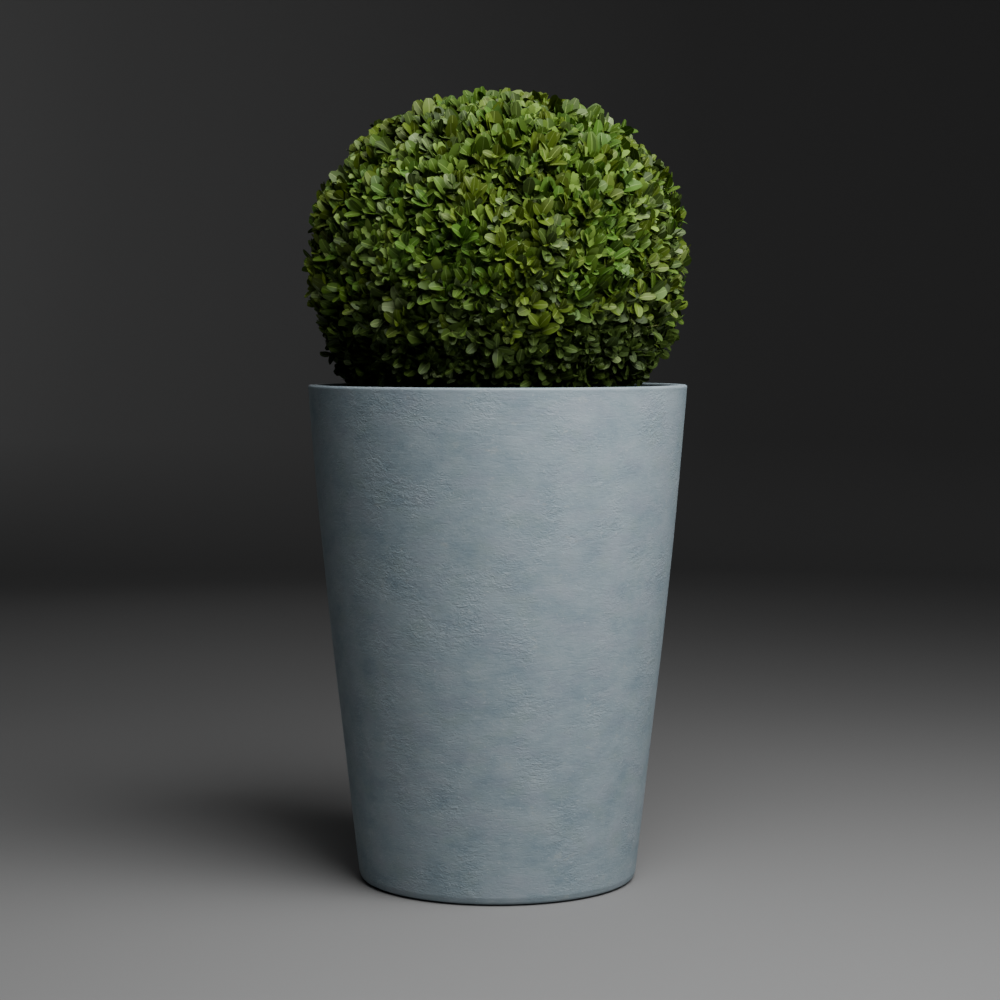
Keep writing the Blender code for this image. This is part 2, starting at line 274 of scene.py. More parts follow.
# Tints of a spray: three tones from dark to light, and the midrib
TINTS = {
    "olive": (((74, 90, 29), (85, 105, 35), (93, 115, 42)), (121, 138, 71)),
    "green": (((63, 86, 29), (73, 99, 35), (82, 109, 42)), (111, 135, 67)),
    "fresh": (((62, 90, 30), (73, 106, 38), (83, 116, 46)), (111, 139, 73)),
    "dark": (((51, 68, 26), (58, 75, 30), (63, 82, 35)), (94, 114, 59)),
    # painted light: the leaves inside are lighter, as if lit through the leaves over them
    "inner": (((106, 134, 56), (114, 143, 62), (120, 148, 68)), (134, 158, 80)),
    "pale": (((96, 115, 70), (106, 125, 76), (114, 132, 84)), (143, 158, 107)),
}
TONE_ROUGHNESS = (0.55, 0.50, 0.52)
MIDRIB_ROUGHNESS = 0.5
MIDRIB_SLOT = 3  # after the three tones
LEAF_GLOSS = 0.26
PALE_SHARE = 0.07
TINT_PATCH = 2.0  # patches of one tint across the ball
TINT_SWING = 0.6  # of the patches
TINT_STRAY = 0.22
TINT_SLOPE = Vector((0.06, -0.04, -0.06))  # by which leaves are fresher towards one side
FOOT_BELOW = -0.1  # rise of a shoot's direction below which it is at the foot of the ball
FOOT_PAINTED_SHADE = 2.0  # painted shade: by which leaves are dealt darker tints further under it
TONE_AT_TIP = 0.7  # tone, from 0 to 2, of the leaves at a shoot's tip
TONE_STEP = 0.45  # by which leaves are lighter from one pair to the next below, as painted light in the shade of the pairs above
TONE_FALL = 0.8  # by which they are darker at the top of the ball, and lighter at its foot
TONE_STRAY = 0.5
TINT_STEPS = ((-0.34, "dark"), (-0.02, "olive"), (0.26, "green"), (9.0, "fresh"))


# ---------------------------------------------------------------- materials


def node_material(name):
    """A new material, its node tree and its shader."""
    made = bpy.data.materials.new(name)
    made.use_nodes = True
    return made, made.node_tree, made.node_tree.nodes["Principled BSDF"]


def stretched_noise(tree, scale, detail=4.0, roughness=0.55, distortion=0.0):
    """Noise in object space, with its own scale along each axis. Returns its value socket."""
    place = tree.nodes.new("ShaderNodeTexCoord")
    mapping = tree.nodes.new("ShaderNodeMapping")
    mapping.inputs["Scale"].default_value = scale
    texture = tree.nodes.new("ShaderNodeTexNoise")
    texture.inputs["Scale"].default_value = 1.0
    texture.inputs["Detail"].default_value = detail
    texture.inputs["Roughness"].default_value = roughness
    texture.inputs["Distortion"].default_value = distortion
    tree.links.new(place.outputs["Object"], mapping.inputs["Vector"])
    tree.links.new(mapping.outputs["Vector"], texture.inputs["Vector"])
    return texture.outputs["Fac"]


def ramp(tree, value, stops):
    """A colour ramp over a value. Stops are (place, colour)."""
    node = tree.nodes.new("ShaderNodeValToRGB")
    elements = node.color_ramp.elements
    while len(elements) < len(stops):
        elements.new(0.5)
    for element, (place, colour) in zip(elements, stops):
        element.position = place
        element.color = (*colour, 1)
    tree.links.new(value, node.inputs["Fac"])
    return node.outputs["Color"]


def grey_ramp(tree, value, low, high, start=0.0, end=1.0):
    """A value stretched between two places of a ramp."""
    return ramp(tree, value, ((low, (start,) * 3), (high, (end,) * 3)))


def mixed(tree, factor, first, second):
    """Two colours mixed by a value. Each is a socket or a colour."""
    node = tree.nodes.new("ShaderNodeMix")
    node.data_type = "RGBA"
    tree.links.new(factor, node.inputs["Factor"])
    for socket, colour in ((node.inputs["A"], first), (node.inputs["B"], second)):
        if isinstance(colour, tuple):
            socket.default_value = (*colour, 1)
        else:
            tree.links.new(colour, socket)
    return node.outputs["Result"]


def product(tree, first, second):
    """Two values multiplied. Each is a socket or a number."""
    node = tree.nodes.new("ShaderNodeMath")
    node.operation = "MULTIPLY"
    for socket, value in zip(node.inputs, (first, second)):
        if isinstance(value, float):
            socket.default_value = value
        else:
            tree.links.new(value, socket)
    return node.outputs["Value"]


def marked_relief(tree, value, marks):
    """A value's swing about its middle, as far as the marks allow."""
    node = tree.nodes.new("ShaderNodeMath")
    node.operation = "SUBTRACT"
    node.inputs[1].default_value = 0.5
    tree.links.new(value, node.inputs[0])
    return product(tree, node.outputs["Value"], marks)


def bump(tree, height, strength, distance, below=None):
    """A bump over the normal of the bump below it."""
    node = tree.nodes.new("ShaderNodeBump")
    node.inputs["Strength"].default_value = strength
    node.inputs["Distance"].default_value = distance
    tree.links.new(height, node.inputs["Height"])
    if below:
        tree.links.new(below, node.inputs["Normal"])
    return node.outputs["Normal"]


def clay_material():
    """Blue-grey fibre clay: soft clouds of a few greys, and grain and painted highlights on the crests
    where the mesh has trowel marks.
    """
    made, tree, shader = node_material("blue_grey_fibre_clay")
    marks = tree.nodes.new("ShaderNodeAttribute")
    marks.attribute_name = "marks"
    marked = marks.outputs["Fac"]
    clouds = stretched_noise(tree, CLOUD_NOISE, detail=6.0, roughness=0.70)
    colour = ramp(tree, clouds, [(place, linear(shade)) for place, shade in CLAY_CLOUDS])
    for size, detail, roughness, (low, high), strength, tint in CLAY_TINTS:
        patches = stretched_noise(tree, size, detail, roughness)
        cover = grey_ramp(tree, patches, low, high, end=strength)
        colour = mixed(tree, cover, colour, linear(tint))
    ridges = stretched_noise(tree, RIDGE_NOISE, distortion=0.9)
    grain = stretched_noise(tree, GRAIN_NOISE, detail=2.0, roughness=0.5)
    # painted highlight: the crests of the marks are painted lighter
    crest_highlights = product(tree, grey_ramp(tree, ridges, 0.56, 0.70, end=0.5), marked)
    colour = mixed(tree, crest_highlights, colour, linear(CLAY_CREST_HIGHLIGHT))
    specks = grey_ramp(tree, grain, 0.68, 0.74, end=0.5)
    colour = mixed(tree, specks, colour, linear(CLAY_SPECK))
    tree.links.new(colour, shader.inputs["Base Color"])
    sheen = grey_ramp(tree, clouds, 0.3, 0.7, start=0.62, end=0.52)
    tree.links.new(sheen, shader.inputs["Roughness"])
    normal = bump(tree, marked_relief(tree, ridges, marked), strength=0.7, distance=0.0019)
    normal = bump(tree, marked_relief(tree, grain, marked), strength=0.3, distance=0.0010, below=normal)
    lines = stretched_noise(tree, LINE_NOISE, roughness=0.6, distortion=0.4)
    normal = bump(tree, grey_ramp(tree, lines, 0.30, 0.42), strength=0.25, distance=0.0006, below=normal)
    tree.links.new(normal, shader.inputs["Normal"])
    return made


def compost_material():
    """Dark crumbs of moist compost with paler fibres."""
    made, tree, shader = node_material("dark_compost")
    grains = stretched_noise(tree, COMPOST_NOISE, detail=6.0, roughness=0.7)
    tree.links.new(ramp(tree, grains, COMPOST_SHADES), shader.inputs["Base Color"])
    shader.inputs["Roughness"].default_value = 0.93
    tree.links.new(bump(tree, grains, strength=0.7, distance=0.002), shader.inputs["Normal"])
    return made


def bark_material():
    """Grey-brown ridged bark with a little green."""
    made, tree, shader = node_material("box_bark")
    ridges = stretched_noise(tree, BARK_NOISE, detail=6.0, roughness=0.65)
    colour = ramp(tree, ridges, BARK_SHADES)
    moss = grey_ramp(tree, stretched_noise(tree, MOSS_NOISE), 0.52, 0.72, end=0.5)
    tree.links.new(mixed(tree, moss, colour, MOSS_COLOUR), shader.inputs["Base Color"])
    shader.inputs["Roughness"].default_value = 0.85
    tree.links.new(bump(tree, ridges, strength=0.8, distance=0.0015), shader.inputs["Normal"])
    return made


def shoot_material():
    """Green skin of the young shoots, with a little brown."""
    made, tree, shader = node_material("green_shoot")
    streaks = stretched_noise(tree, SHOOT_NOISE, detail=3.0)
    tree.links.new(ramp(tree, streaks, SHOOT_SHADES), shader.inputs["Base Color"])
    shader.inputs["Roughness"].default_value = 0.55
    return made


def leaf_material(name, colour, roughness):
    """One plain tone of leaf, so that the colours that are dealt out by spray keep their place."""
    made, _, shader = node_material(name)
    shader.inputs["Base Color"].default_value = (*linear(colour), 1)
    shader.inputs["Roughness"].default_value = roughness
    shader.inputs["Specular IOR Level"].default_value = LEAF_GLOSS
    return made


def between(tree, value, limits):
    """A value's place between two limits, from 0 to 1."""
    node = tree.nodes.new("ShaderNodeMapRange")
    node.inputs["From Min"].default_value, node.inputs["From Max"].default_value = limits
    tree.links.new(value, node.inputs["Value"])
    return node.outputs["Result"]


def stage_material():
    """Matt grey with painted light falloff: darker behind the plant, and on the wall from left to right."""
    made, tree, shader = node_material("grey_stage_painted_falloff")
    place = tree.nodes.new("ShaderNodeTexCoord")
    axes = tree.nodes.new("ShaderNodeSeparateXYZ")
    tree.links.new(place.outputs["Object"], axes.inputs["Vector"])
    # painted light falloff: the floor darkens behind the plant, and the wall from left to right
    depth = between(tree, axes.outputs["Y"], STAGE_DEPTH)
    floor = ramp(tree, depth, [(share, (shade,) * 3) for share, shade in DEPTH_PAINTED_FALLOFF])
    side = between(tree, axes.outputs["X"], WALL_SIDES)
    wall = ramp(tree, side, [(share, (shade,) * 3) for share, shade in SIDE_PAINTED_FALLOFF])
    height = between(tree, axes.outputs["Z"], WALL_FOOT)
    tree.links.new(mixed(tree, height, floor, wall), shader.inputs["Base Color"])
    shader.inputs["Roughness"].default_value = STAGE_ROUGHNESS
    return made


# ---------------------------------------------------------------- meshes


def mesh_piece(name, points, faces, finishes, slots=None):
    """A smooth mesh from arrays of points and triangles, riding on the one body."""
    data = bpy.data.meshes.new(name)
    data.from_pydata(points.reshape(-1, 3), [], faces.reshape(-1, 3))
    for finish in finishes:
        data.materials.append(finish)
    if slots is not None:
        data.polygons.foreach_set("material_index", slots.astype(np.int32))
    data.shade_smooth()
    piece = bpy.data.objects.new(name, data)
    bpy.context.scene.collection.objects.link(piece)
    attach(piece, "root")
    return piece


def ring_faces(rows, sides):
    """Triangles between rings of points that turn counter-clockwise seen from the last ring."""
    row, side = np.meshgrid(np.arange(rows - 1), np.arange(sides), indexing="ij")
    here = row * sides + side
    beside = row * sides + (side + 1) % sides
    first = np.stack([here, beside, beside + sides], axis=-1)
    second = np.stack([here, beside + sides, here + sides], axis=-1)
    return np.concatenate([first.reshape(-1, 3), second.reshape(-1, 3)])


def capped_rings(rings):
    """A closed solid from an array of rings (rows, sides, 3): its points and triangles."""
    rows, sides, _ = rings.shape
    middles = np.stack([rings[0].mean(axis=0), rings[-1].mean(axis=0)])
    points = np.concatenate([rings.reshape(-1, 3), middles])
    side = np.arange(sides)
    after = (side + 1) % sides
    low_cap = np.stack([after, side, np.full(sides, rows * sides)], axis=-1)
    top = (rows - 1) * sides
    high_cap = np.stack([top + side, top + after, np.full(sides, rows * sides + 1)], axis=-1)
    return points, np.concatenate([ring_faces(rows, sides), low_cap, high_cap])


def joined(parts):
    """Points and triangles of several solids as one pair of arrays."""
    points, faces, start = [], [], 0
    for some_points, some_faces in parts:
        points.append(some_points)
        faces.append(some_faces + start)
        start += len(some_points)
    return np.concatenate(points), np.concatenate(faces)


def smooth_step(low, high, value):
    share = min(max((value - low) / (high - low), 0.0), 1.0)
    return share * share * (3 - 2 * share)


# ---------------------------------------------------------------- planter


def outer_radius(height):
    """The planter's wall: straight from the foot, then easing upright above the bend."""
    above = max(0.0, height - BEND_HEIGHT)
    eased = (FLARE - RIM_FLARE) * above**2 / (2 * (PLANTER_HEIGHT - BEND_HEIGHT))
    return FOOT_RADIUS + FLARE * height - eased


def arc(centre_radius, centre_height, size, start, end):
    """Points of an arc in a turned profile."""
    angles = [start + (end - start) * step / ROUND_STEPS for step in range(ROUND_STEPS + 1)]
    return [(centre_radius + size * math.cos(a), centre_height + size * math.sin(a)) for a in angles]


def spaced(low, high, count):
    """Heights evenly spaced between two others, without the ends."""
    return [low + (high - low) * step / count for step in range(1, count)]


def planter_profile():
    """Radius and height down the middle of the floor, up the wall, over the rim and back down inside."""
    foot = FOOT_RADIUS - FOOT_ROUND
    recess, lift = FOOT_RELIEF
    rim = outer_radius(PLANTER_HEIGHT)
    lip = PLANTER_HEIGHT - RIM_ROUND
    inner_foot = FLOOR + INNER_CORNER
    profile = [(foot * 0.5, 0), (foot - recess, 0), (foot - recess, lift)]
    profile += arc(foot, FOOT_ROUND + lift, FOOT_ROUND, -math.pi / 2, 0)
    profile += [(outer_radius(height), height) for height in spaced(FOOT_ROUND + lift, lip, OUTER_ROWS)]
    profile += arc(rim - RIM_ROUND, lip, RIM_ROUND, 0, math.pi / 2)
    profile += arc(rim - WALL + RIM_ROUND, lip, RIM_ROUND, math.pi / 2, math.pi)
    for height in reversed(spaced(inner_foot, lip, INNER_ROWS)):
        profile.append((outer_radius(height) - WALL, height))
    profile.append((outer_radius(inner_foot) - WALL, inner_foot))
    profile.append((outer_radius(FLOOR) - WALL - INNER_CORNER, FLOOR))
    return profile


def clay_relief(point):
    """Height of the relief at a point of the wall, and how strongly it is marked by the trowel there."""
    swell = noise.noise(point * SWELL_SIZE)
    patch = noise.noise(point * PATCH_SIZE + UP * PATCH_SHIFT)
    patch += 0.5 * noise.noise(point * PATCH_SIZE * PATCH_DETAIL)
    marks = MARKS_LEAST + (1 - MARKS_LEAST) * smooth_step(*PATCH_EDGE, patch)
    across, along = RIDGE_SIZE
    ridge = noise.noise(Vector((point.x * across, point.y * across, point.z * along)))
    return SWELL_HEIGHT * swell + RIDGE_HEIGHT * marks * ridge, marks


def make_planter():
    profile = planter_profile()
    rings = np.zeros((len(profile), PLANTER_SIDES, 3))
    marks = np.zeros((len(profile), PLANTER_SIDES))
    turns = [math.tau * side / PLANTER_SIDES for side in range(PLANTER_SIDES)]
    for row, (radius, height) in enumerate(profile):
        outside = radius >= outer_radius(height) - RIM_ROUND
        fade = smooth_step(0, RELIEF_FADE, min(height, PLANTER_HEIGHT - height)) if outside else 0
        for side, turn in enumerate(turns):
            outward = Vector((math.cos(turn), math.sin(turn), 0))
            relief, mark = clay_relief(outward * radius + UP * height)
            rings[row, side] = outward * (radius + relief * fade) + UP * height
            marks[row, side] = mark
    points, faces = capped_rings(rings)
    piece = mesh_piece("planter_clay", points, faces, [clay_material()])
    attribute = piece.data.attributes.new("marks", "FLOAT", "POINT")
    attribute.data.foreach_set("value", np.append(marks.ravel(), [0, 0]).astype(np.float32))
    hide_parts("planter")


# ---------------------------------------------------------------- compost


def compost_height(radius, edge):
    """The level under the stem, and the slope from it down to the wall."""
    share = max(0.0, radius - COMPOST_FLAT) / (edge - COMPOST_FLAT)
    return COMPOST_LEVEL - COMPOST_FALL * share


def crumb(place, size, chance):
    """An irregular lump of eight faces."""
    axes = [Vector((1, 0, 0)), Vector((0, 1, 0)), Vector((0, 0, 1))]
    corners = []
    for axis in axes:
        for way in (1, -1):
            wander = Vector([chance.uniform(-CRUMB_SKEW, CRUMB_SKEW) for _ in axes])
            corners.append(place + (axis * way + wander) * size * chance.uniform(*CRUMB_REACH))
    faces = [(0, 2, 4), (2, 1, 4), (1, 3, 4), (3, 0, 4), (2, 0, 5), (1, 2, 5), (3, 1, 5), (0, 3, 5)]
    return np.array(corners), np.array(faces)


def make_compost():
    """A crumbly top layer, from its lower edge up the wall and in to the middle, and loose crumbs on it."""
    chance = random.Random(SEED)
    edge = outer_radius(COMPOST_LEVEL - COMPOST_FALL) - WALL - COMPOST_CLEARANCE
    rings = np.zeros((COMPOST_ROWS + 1, COMPOST_SIDES, 3))
    for row in range(COMPOST_ROWS + 1):
        radius = edge * min(1.0, (COMPOST_ROWS - row + 1) / COMPOST_ROWS)
        for side in range(COMPOST_SIDES):
            turn = math.tau * side / COMPOST_SIDES
            place = Vector((math.cos(turn), math.sin(turn), 0)) * radius
            lumps = noise.fractal(place * LUMP_SIZE, *LUMP_DETAIL) * LUMP_HEIGHT
            height = compost_height(radius, edge) + lumps - LUMPS_SUNK
            rings[row, side] = place + UP * (height if row else height - COMPOST_DEPTH)
    parts = [capped_rings(rings)]
    for _ in range(CRUMBS):
        radius = (edge - CRUMB_MARGIN) * math.sqrt(chance.random())
        turn = chance.uniform(0, math.tau)
        size = chance.uniform(*CRUMB_SIZE)
        place = Vector((math.cos(turn), math.sin(turn), 0)) * radius
        parts.append(crumb(place + UP * compost_height(radius, edge), size, chance))
    piece = mesh_piece("compost_crumbs", *joined(parts), [compost_material()])
    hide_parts("compost")


# ---------------------------------------------------------------- stem and limbs


def stem_axis(height):
    """The leaning centre line, from the middle of the compost."""
    return STEM_LEAN * (height - COMPOST_LEVEL) + UP * height


def stem_radius(height, turn):
    """Tapers upwards, and flares into lobes at the foot."""
    upward = (height - STEM_FOOT) / (STEM_TOP - STEM_FOOT)
    flare = STEM_FLARE * math.exp(-(height - STEM_FOOT) / FLARE_HEIGHT)
    lobes = 1 - LOBE_DEPTH * (0.5 + 0.5 * math.cos(FLARE_LOBES * turn))
    return STEM_RADIUS + STEM_TAPER * (1 - upward) + flare * lobes


def bark_relief(point):
    """Height of the long ridges of the bark."""
    across, along = BARK_SIZE
    ridged = Vector((point.x * across, point.y * across, point.z * along))
    return BARK_RELIEF * (1 - 2 * abs(noise.noise(ridged)))


def make_stem(finish):
    """The foot of the plant, with the relief of its bark."""
    rings = np.zeros((STEM_ROWS + 1, STEM_SIDES, 3))
    for row in range(STEM_ROWS + 1):
        height = STEM_FOOT + (STEM_TOP - STEM_FOOT) * row / STEM_ROWS
        for side in range(STEM_SIDES):
            turn = math.tau * side / STEM_SIDES
            outward = Vector((math.cos(turn), math.sin(turn), 0))
            radius = stem_radius(height, turn)
            radius += bark_relief(outward * radius + UP * height) - BARK_RELIEF
            rings[row, side] = stem_axis(height) + outward * radius
    piece = mesh_piece("stem_bark", *capped_rings(rings), [finish])
    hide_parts("stem")


def unit(vectors):
    return vectors / np.linalg.norm(vectors, axis=-1, keepdims=True)


def square_to(along):
    """Two directions at right angles to each other and to the given ones."""
    helper = np.where(np.abs(along[:, 2:]) < STEEP, [[0.0, 0.0, 1.0]], [[1.0, 0.0, 0.0]])
    aside = unit(np.cross(along, helper))
    return aside, np.cross(along, aside)


def tubes(paths, radii, sides):
    """Tapered tubes along paths (count, rows, 3), with their radii (rows): points and triangles."""
    count, rows, _ = paths.shape
    aside, other = square_to(unit(paths[:, -1] - paths[:, 0]))
    turns = np.arange(sides) * math.tau / sides
    ring = np.cos(turns)[:, None] * aside[:, None] + np.sin(turns)[:, None] * other[:, None]
    points = paths[:, :, None] + ring[:, None] * radii[:, None, None]
    faces = ring_faces(rows, sides)
    ends = [(0, side + 1, side) for side in range(1, sides - 1)]
    top = (rows - 1) * sides
    ends += [(top, top + side, top + side + 1) for side in range(1, sides - 1)]
    faces = np.concatenate([faces, np.array(ends)])
    starts = np.arange(count)[:, None, None] * rows * sides
    return points.reshape(-1, 3), (faces[None] + starts).reshape(-1, 3)


def curved_paths(feet, bends, tips, rows):
    """Points along curves from feet to tips that leave towards the bends and arrive from them."""
    share = np.linspace(0, 1, rows)[None, :, None]
    early, late = (1 - share) ** 2, share**2
    return feet[:, None] * early + bends[:, None] * 2 * share * (1 - share) + tips[:, None] * late


# ---------------------------------------------------------------- growth of the ball


def ball_reach(directions):
    """Distance from the ball's centre to its clipped surface, for an array of directions."""
    side = np.hypot(directions[..., 0], directions[..., 1]) / BALL_RADIUS
    up = np.abs(directions[..., 2]) / BALL_HALF_HEIGHT
    reach = (side**BALL_FULLNESS + up**BALL_FULLNESS) ** (-1 / BALL_FULLNESS)
    for centre, amount in SWELLS:
        nearness = directions @ np.array(centre.normalized())
        reach = reach * (1 + amount * np.exp(SWELL_TIGHTNESS * (nearness - 1)))
    return reach


def spread(count, chance, jitter=SPREAD_JITTER):
    """Directions spaced evenly over a sphere on a golden-angle spiral, each strayed a little."""
    found = []
    stray = jitter * math.sqrt(4 * math.pi / count)
    for step in range(count):
        height = 1 - (2 * step + 1) / count
        angle = step * math.pi * (3 - math.sqrt(5))
        side = math.sqrt(1 - height * height)
        even = Vector((side * math.cos(angle), side * math.sin(angle), height))
        wander = Vector((chance.gauss(0, 1), chance.gauss(0, 1), chance.gauss(0, 1)))
        found.append((even + wander * stray).normalized())
    return np.array(found)


def nearest(parents, directions):
    """Index of the parent direction nearest to each direction."""
    return (directions @ parents.T).argmax(axis=1)


def grow_limbs(chance):
    """Limbs and sprigs on the ball's own stem: tubes, and the sprigs' directions, feet and tips."""
    centre = np.array(BALL_CENTRE)
    fork = centre + np.array(UP) * FORK_HEIGHT
    foot = np.array(stem_axis(STEM_TOP - GAP))
    path = foot + (fork - foot) * np.linspace(0, 1, OWN_STEM_ROWS)[:, None]
    radii = np.linspace(STEM_RADIUS, OWN_STEM_RADIUS, OWN_STEM_ROWS)
    parts = [tubes(path[None], radii, 2 * LIMB_SIDES)]
    directions, tips = np.array([UP]), np.array([fork])
    levels = [(*level, LIMB_SIDES) for level in LIMBS]
    levels.append((SPRIGS, SPRIG_REACH, SPRIG_RADIUS, SPRIG_SIDES))
    for count, share, radius, sides in levels:
        grown = spread(count, chance)
        feet = tips[nearest(directions, grown)]
        tips = centre + grown * (ball_reach(grown) * share)[:, None]
        bends = (feet + tips) / 2 + grown * LIMB_BEND
        radii = np.linspace(radius, radius * TWIG_TAPER, LIMB_ROWS)
        parts.append(tubes(curved_paths(feet, bends, tips, LIMB_ROWS), radii, sides))
        directions = grown
    return joined(parts), directions, feet, tips


def beyond(points):
    """Distance of points beyond the clipped surface."""
    from_centre = points - np.array(BALL_CENTRE)
    return np.linalg.norm(from_centre, axis=-1) - ball_reach(unit(from_centre))


def in_space(points):
    """Whether points keep inside the clipped ball and above the stem."""
    return (beyond(points) < CLIP_STRAY) & (points[..., 2] > STEM_TOP + STEM_CLEARANCE)


def grow_shoots(sprigs, outward, lengths, depth, random_state):
    """Shoots from the sprigs to the clipped surface, less a depth: their paths and their leaves."""
    directions, feet, tips = sprigs
    lift = np.array(UP) * SHOOT_LIFT * (1 - outward[:, 2:] ** 2)
    heading = unit(outward + lift + random_state.normal(0, SHOOT_STRAY, outward.shape))
    ends = np.array(BALL_CENTRE) + outward * ball_reach(outward)[:, None]
    leaves = crossed_leaves(ends, heading, outward, lengths, random_state)
    leaves, ends = clip(leaves, ends, outward, depth)
    parent = nearest(directions, outward)
    share = random_state.uniform(*SHOOT_FEET, (len(outward), 1))
    start = feet[parent] * (1 - share) + tips[parent] * share
    return curved_paths(start, ends - heading * STRAIGHT_END, ends, SHOOT_ROWS), leaves


def chosen(leaves, mask):
    return {key: value[mask] for key, value in leaves.items()}


def crossed_leaves(tips, heading, outward, lengths, random_state):
    """Roots, directions, faces, lengths, shoot numbers and pair numbers of the leaves on all shoots."""
    count = len(tips)
    aside, other = square_to(heading)
    first_turn = random_state.uniform(0, math.pi, count)
    closing = 1 - LEAF_CLOSE * outward[:, 2:]
    rows = {key: [] for key in ("root", "along", "face", "length", "shoot", "pair")}
    for pair, (below, angle, size) in enumerate(LEAF_PAIRS):
        for half in (0, 1):
            lean = angle * closing + random_state.normal(0, LEAF_ANGLE_SPREAD, (count, 1))
            turn = first_turn + pair * math.pi / 2 + half * math.pi
            turn = (turn + random_state.normal(0, LEAF_SIDE_SPREAD, count))[:, None]
            out = aside * np.cos(turn) + other * np.sin(turn)
            along = heading * np.cos(lean) + out * np.sin(lean)
            face = heading * np.sin(lean) - out * np.cos(lean)
            roll = random_state.normal(0, LEAF_ROLL_SPREAD, (count, 1))
            face = face * np.cos(roll) + np.cross(along, face) * np.sin(roll)
            pull = outward * LEAF_TURN + np.array(LEAF_LIGHT) * (outward[:, 2:] + LEAF_LIGHT_REACH).clip(0)
            face = face * np.sign((face * pull).sum(axis=1, keepdims=True)) + pull
            face = unit(face - along * (face * along).sum(axis=1, keepdims=True))
            rows["root"].append(tips - heading * below)
            rows["along"].append(along)
            rows["face"].append(face)
            rows["length"].append(lengths * size * random_state.normal(1, PAIR_LENGTH_SPREAD, count))
            rows["shoot"].append(np.arange(count))
            rows["pair"].append(np.full(count, pair))
    return {key: np.concatenate(value) for key, value in rows.items()}


def clip(leaves, ends, outward, depth):
    """Draws each shoot back to its depth below the surface, and drops leaves out of the space."""
    tip = leaves["root"] + leaves["along"] * leaves["length"][:, None]
    excess = np.full(len(ends), -1.0)
    np.maximum.at(excess, leaves["shoot"], beyond(tip))
    shift = outward * (excess + depth + CLIP_SLOPE * outward[:, 2])[:, None]
    leaves["root"] -= shift[leaves["shoot"]]
    tip = leaves["root"] + leaves["along"] * leaves["length"][:, None]
    kept = in_space(tip) & in_space((tip + leaves["root"]) / 2)
    return chosen(leaves, kept), ends - shift


def blade_profile(stations):
    """Half width of the blade at each station, as a share of its greatest: widest past the middle."""
    power = math.log(0.5) / math.log(LEAF_FULLEST)
    widths = [math.sin(math.pi * (1 - LEAF_BLUNTNESS) * station**power) for station in stations]
    return np.array([max(width, 0.0) ** LEAF_ROUNDNESS for width in widths])


def blade_faces(rows, columns):
    """Triangles of a blade of rows and columns, and which of them are on the middle strip."""
    faces, middle = [], []
    for row in range(rows - 1):
        for column in range(columns - 1):
            here = row * columns + column
            faces += [(here, here + 1, here + columns + 1), (here, here + columns + 1, here + columns)]
            middle += [column == 1 and columns == 4] * 2
    return np.array(faces), np.array(middle)


def blades(leaves, stations, ribbed, random_state):
    """Points, triangles and middle-strip flags of cupped and curled leaf blades."""
    count, rows = len(leaves["root"]), len(stations)
    station = np.array(stations)
    width = leaves["length"] * LEAF_WIDTH * random_state.normal(1, LEAF_WIDTH_SPREAD, count) / 2
    half = width[:, None] * blade_profile(stations)
    rib = np.linspace(*RIB_WIDTH, rows)[None] / 2
    rib = np.minimum(rib, np.maximum(half, LEAST_RIB))
    edge = np.maximum(half, rib * EDGE_OVER_RIB)
    across = np.stack([-edge, -rib, rib, edge], axis=-1)
    if not ribbed:
        across = across[..., [0, 3]]
    fold = random_state.uniform(*LEAF_FOLD, (count, 1, 1))
    curl = random_state.uniform(*LEAF_CURL, (count, 1))
    length = leaves["length"][:, None]
    forward = length * np.sin(curl * station) / curl
    back = length * (1 - np.cos(curl * station)) / curl
    rise = fold * np.abs(across) - back[..., None]
    along, face = leaves["along"], leaves["face"]
    aside = np.cross(along, face)
    points = leaves["root"][:, None, None] + along[:, None, None] * forward[..., None, None]
    points = points + aside[:, None, None] * across[..., None] + face[:, None, None] * rise[..., None]
    faces, middle = blade_faces(rows, across.shape[-1])
    starts = np.arange(count)[:, None, None] * rows * across.shape[-1]
    return points.reshape(-1, 3), faces[None] + starts, np.tile(middle, (count, 1))


def tint_of_shoots(outward, random_state):
    """The name of each shoot's tint: patches across the ball, strayed from shoot to shoot, and darker under
    the ball as painted shade.
    """
    names = []
    strays = random_state.normal(0, TINT_STRAY, len(outward))
    pales = random_state.random(len(outward))
    for direction, stray, pale in zip(outward, strays, pales):
        if pale < PALE_SHARE:
            names.append("pale")
            continue
        patch = noise.noise(Vector(direction) * TINT_PATCH) * TINT_SWING + TINT_SLOPE.dot(direction) + stray
        # painted shade: shoots under the ball are dealt darker tints
        patch += FOOT_PAINTED_SHADE * min(0.0, direction[2] - FOOT_BELOW)
        names.append(next(name for limit, name in TINT_STEPS if patch < limit))
    return np.array(names)


def leaf_tones(leaves, random_state):
    """Darker tones at the shoot's tip and the ball's top, and lighter ones below, with some strays; the
    lighter lower pairs are painted light in the shade of the pairs above.
    """
    height = (leaves["root"][:, 2] - BALL_CENTRE.z) / BALL_HALF_HEIGHT
    tone = TONE_AT_TIP + leaves["pair"] * TONE_STEP - height * TONE_FALL
    tone = tone + random_state.normal(0, TONE_STRAY, len(tone))
    return np.clip(np.round(tone), 0, 2).astype(np.int64)


def make_leaf_piece(name, leaves, finishes, stations, ribbed, random_state):
    """One joined piece of leaves in the tones of one tint."""
    points, faces, middle = blades(leaves, stations, ribbed, random_state)
    tones = leaf_tones(leaves, random_state)
    slots = np.where(middle, MIDRIB_SLOT, tones[:, None])
    piece = mesh_piece(name, points, faces, finishes, slots.ravel())
    piece.data.validate()
    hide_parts("foliage_ball")


def make_limbs(limbs, bark):
    piece = mesh_piece("boughs_and_branches", *limbs, [bark])
    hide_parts("foliage_ball")


